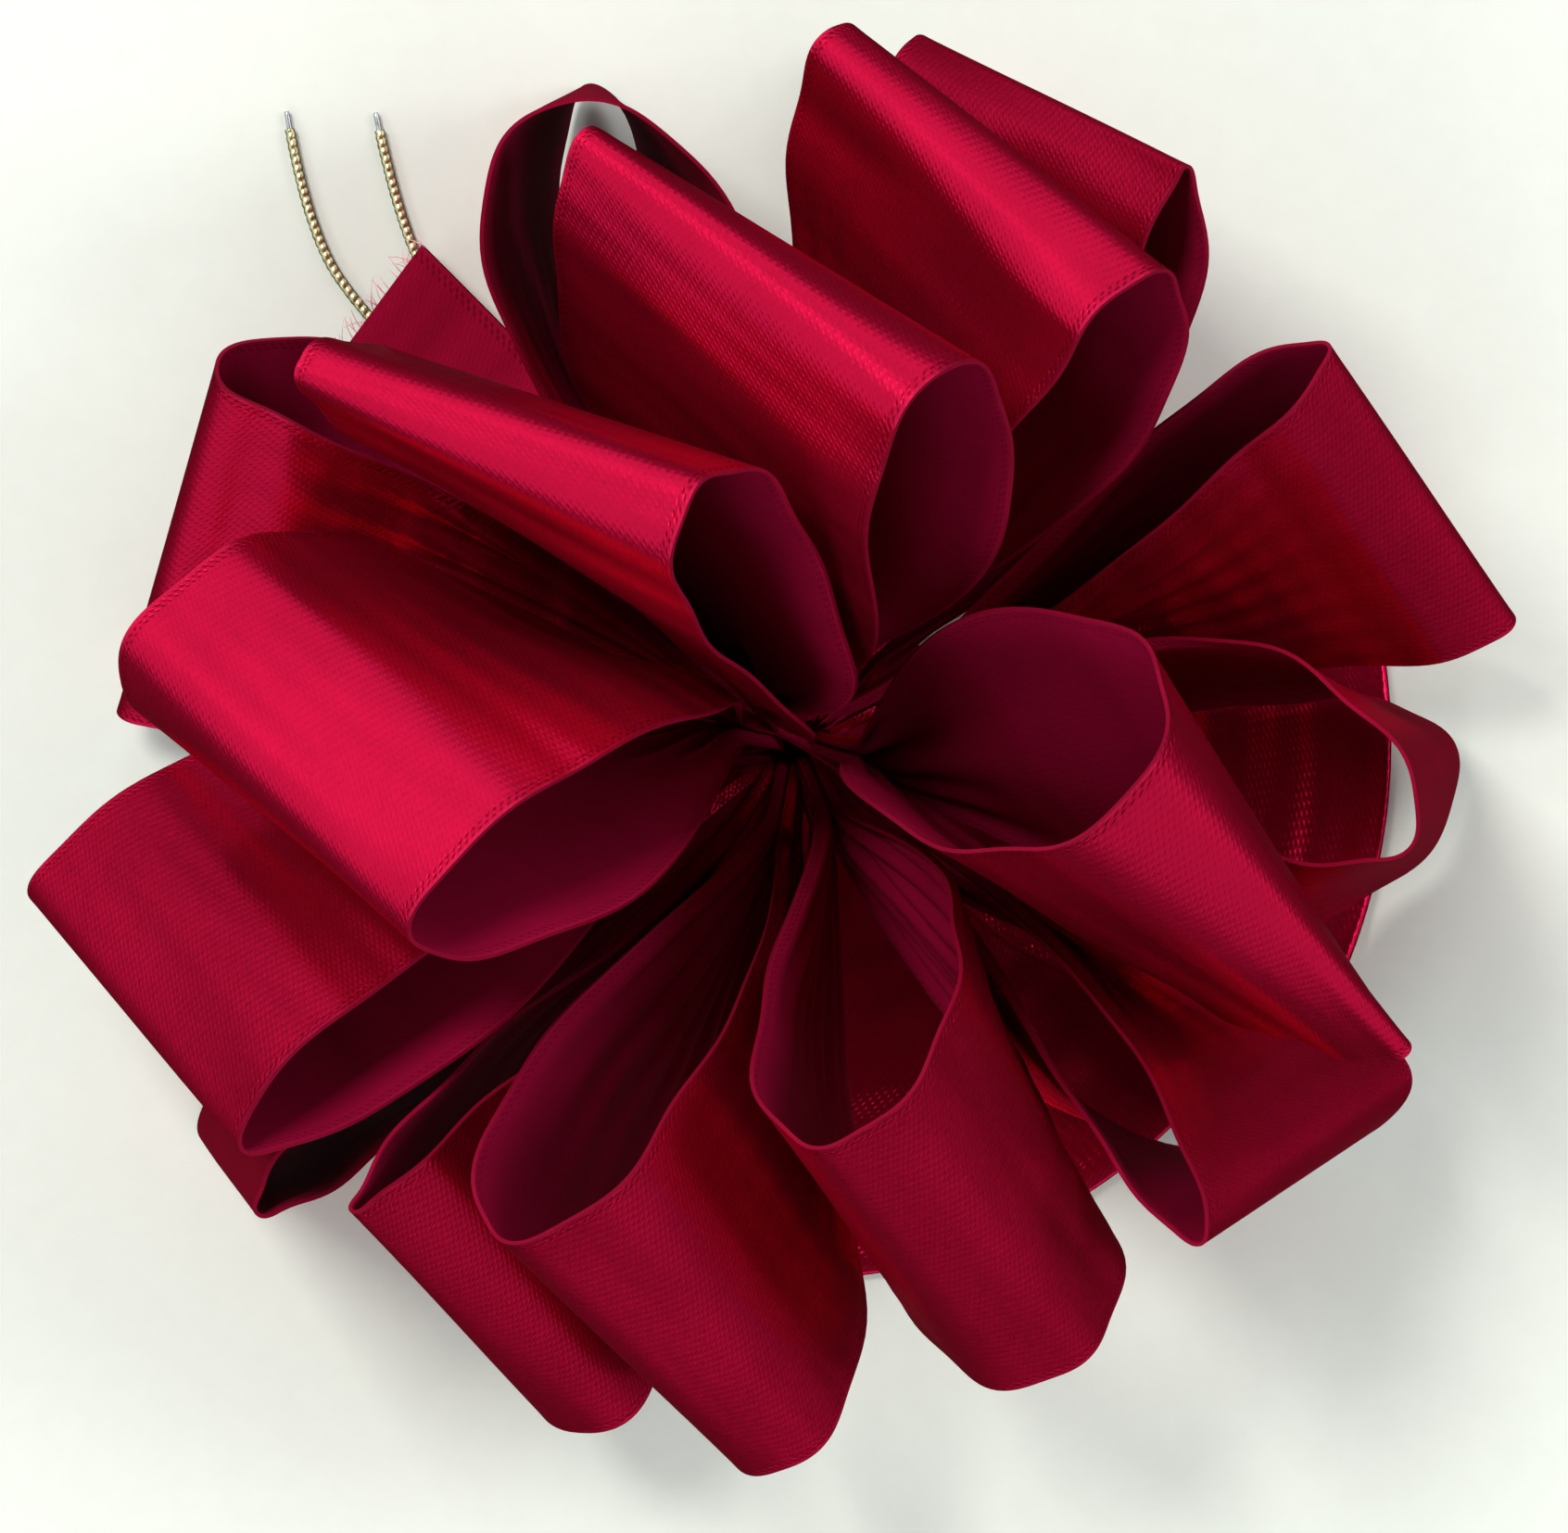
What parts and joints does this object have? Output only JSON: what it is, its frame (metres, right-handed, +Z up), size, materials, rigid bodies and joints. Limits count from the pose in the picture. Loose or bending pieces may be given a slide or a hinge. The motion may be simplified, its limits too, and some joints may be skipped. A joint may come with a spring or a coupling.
{
  "type": "pre-made gift bow",
  "caption": "Pre-made satin gift bow: teardrop ribbon loops fanned round a gathered waist, tied underneath with gold-wrapped wire whose two ends stick out for fastening.",
  "frame": {"origin": "centre of the waist's flat underside, on the surface that the bow rests on", "axes": "+Z up through the top loops; +Y away from the viewer of the upright plan view, with the wire tails towards -X and +Y"},
  "size_m": [0.1131, 0.11, 0.0652],
  "materials": {
    "satin_ribbon": "satin weave, bright streaks across the bends, darker matt back",
    "ribbon_gathered": "satin ribbon gathered tight, in shadow",
    "gold_wrap": "pale gold foil thread, wound closely",
    "steel_core": "bare cut wire end"
  },
  "bodies": {
    "waist": {"gathered_waist": "ribbon_gathered", "tie_turns": "gold_wrap", "tie_twist": "gold_wrap"},
    "top_loop_1": {"top_loop_1": "satin_ribbon"},
    "top_loop_2": {"top_loop_2": "satin_ribbon"},
    "top_loop_3": {"top_loop_3": "satin_ribbon"},
    "top_loop_4": {"top_loop_4": "satin_ribbon"},
    "top_loop_5": {"top_loop_5": "satin_ribbon"},
    "middle_loop_1": {"middle_loop_1": "satin_ribbon"},
    "middle_loop_2": {"middle_loop_2": "satin_ribbon"},
    "middle_loop_3": {"middle_loop_3": "satin_ribbon"},
    "middle_loop_4": {"middle_loop_4": "satin_ribbon"},
    "middle_loop_5": {"middle_loop_5": "satin_ribbon"},
    "base_loop_1": {"base_loop_1": "satin_ribbon"},
    "base_loop_2": {"base_loop_2": "satin_ribbon"},
    "base_loop_3": {"base_loop_3": "satin_ribbon"},
    "base_loop_4": {"base_loop_4": "satin_ribbon"},
    "base_loop_5": {"base_loop_5": "satin_ribbon"},
    "base_loop_6": {"base_loop_6": "satin_ribbon"},
    "under_loop_1": {"under_loop_1": "satin_ribbon"},
    "under_loop_2": {"under_loop_2": "satin_ribbon"},
    "ribbon_tail": {"ribbon_tail": "satin_ribbon"},
    "wire_tail_left": {"wire_tail_left_sleeve": "gold_wrap", "wire_tail_left_core": "steel_core"},
    "wire_tail_right": {"wire_tail_right_sleeve": "gold_wrap", "wire_tail_right_core": "steel_core"}
  },
  "joints": [
    {"name": "top_loop_1_flex", "type": "hinge", "parent": "waist", "child": "top_loop_1", "pos_m": [-0.00283, 0.0035, 0.01976], "axis": [-0.7771, -0.6293, 0], "range_deg": [-2, 8]},
    {"name": "top_loop_2_flex", "type": "hinge", "parent": "waist", "child": "top_loop_2", "pos_m": [-0.00456, 0.00105, 0.0196], "axis": [-0.652, 0.1505, 0.7431], "range_deg": [-6, 1]},
    {"name": "top_loop_3_flex", "type": "hinge", "parent": "waist", "child": "top_loop_3", "pos_m": [0.00204, -0.00504, 0.0188], "axis": [-0.8652, -0.4791, -0.1483], "range_deg": [-4, 5]},
    {"name": "top_loop_4_flex", "type": "hinge", "parent": "waist", "child": "top_loop_4", "pos_m": [0.00457, -0.00166, 0.01944], "axis": [-0.5435, -0.8084, 0.2262], "range_deg": [-3, 5]},
    {"name": "top_loop_5_flex", "type": "hinge", "parent": "waist", "child": "top_loop_5", "pos_m": [-0.00059, 0.00483, 0.01944], "axis": [0.7399, 0.527, -0.4181], "range_deg": [-4, 12]},
    {"name": "middle_loop_1_flex", "type": "hinge", "parent": "waist", "child": "middle_loop_1", "pos_m": [-0.00614, -0.00108, 0.01758], "axis": [-0.1736, 0.9848, 0], "range_deg": [-3, 5]},
    {"name": "middle_loop_2_flex", "type": "hinge", "parent": "waist", "child": "middle_loop_2", "pos_m": [-0.00084, -0.00594, 0.01801], "axis": [0.9903, -0.1392, 0], "range_deg": [-9, 4]},
    {"name": "middle_loop_3_flex", "type": "hinge", "parent": "waist", "child": "middle_loop_3", "pos_m": [0.00615, 0.003, 0.01586], "axis": [0.8792, 0.4288, 0.2079], "range_deg": [-2, 7]},
    {"name": "middle_loop_4_flex", "type": "hinge", "parent": "waist", "child": "middle_loop_4", "pos_m": [0.00252, 0.00593, 0.01714], "axis": [-0.7191, -0.0151, 0.6947], "range_deg": [-1, 7]},
    {"name": "middle_loop_5_flex", "type": "hinge", "parent": "waist", "child": "middle_loop_5", "pos_m": [-0.00347, -0.00577, 0.01633], "axis": [0.7836, -0.2864, 0.5514], "range_deg": [-1, 7]},
    {"name": "base_loop_1_flex", "type": "hinge", "parent": "waist", "child": "base_loop_1", "pos_m": [-0.00632, 0.00295, 0.01379], "axis": [-0.9029, 0.421, -0.0872], "range_deg": [-6, 1]},
    {"name": "base_loop_2_flex", "type": "hinge", "parent": "waist", "child": "base_loop_2", "pos_m": [-0.00571, -0.004, 0.01507], "axis": [0.8154, 0.5709, -0.0958], "range_deg": [-1, 8]},
    {"name": "base_loop_3_flex", "type": "hinge", "parent": "waist", "child": "base_loop_3", "pos_m": [0.00463, -0.00514, 0.0155], "axis": [-0.6609, 0.734, -0.1564], "range_deg": [-2, 8]},
    {"name": "base_loop_4_flex", "type": "hinge", "parent": "waist", "child": "base_loop_4", "pos_m": [0.0069, -0.00048, 0.0155], "axis": [0.9853, -0.0689, 0.1564], "range_deg": [-6, 3]},
    {"name": "base_loop_5_flex", "type": "hinge", "parent": "waist", "child": "base_loop_5", "pos_m": [0.00411, 0.00566, 0.01416], "axis": [-0.5874, -0.8085, 0.0349], "range_deg": [-7, 6]},
    {"name": "base_loop_6_flex", "type": "hinge", "parent": "waist", "child": "base_loop_6", "pos_m": [-0.00261, 0.00646, 0.01507], "axis": [-0.3729, 0.9229, 0.0958], "range_deg": [-4, 5]},
    {"name": "ribbon_tail_swing", "type": "hinge", "parent": "waist", "child": "ribbon_tail", "pos_m": [-0.00526, 0.00535, 0.008], "axis": [0, 0, 1], "range_deg": [-2, 10]},
    {"name": "wire_tail_left_swing", "type": "hinge", "parent": "waist", "child": "wire_tail_left", "pos_m": [-0.00702, 0.00647, 0.0028], "axis": [0, 0, 1], "range_deg": [0, 12]},
    {"name": "wire_tail_right_swing", "type": "hinge", "parent": "waist", "child": "wire_tail_right", "pos_m": [-0.00635, 0.00713, 0.0028], "axis": [0, 0, 1], "range_deg": [-8, 0]},
    {"name": "under_loop_1_swing", "type": "hinge", "parent": "waist", "child": "under_loop_1", "pos_m": [0.00695, -0.00085, 0.001], "axis": [0, 0, 1], "range_deg": [-2, 4]},
    {"name": "under_loop_2_swing", "type": "hinge", "parent": "waist", "child": "under_loop_2", "pos_m": [0.00296, -0.00634, 0.001], "axis": [0, 0, 1], "range_deg": [-4, 2]}
  ]
}
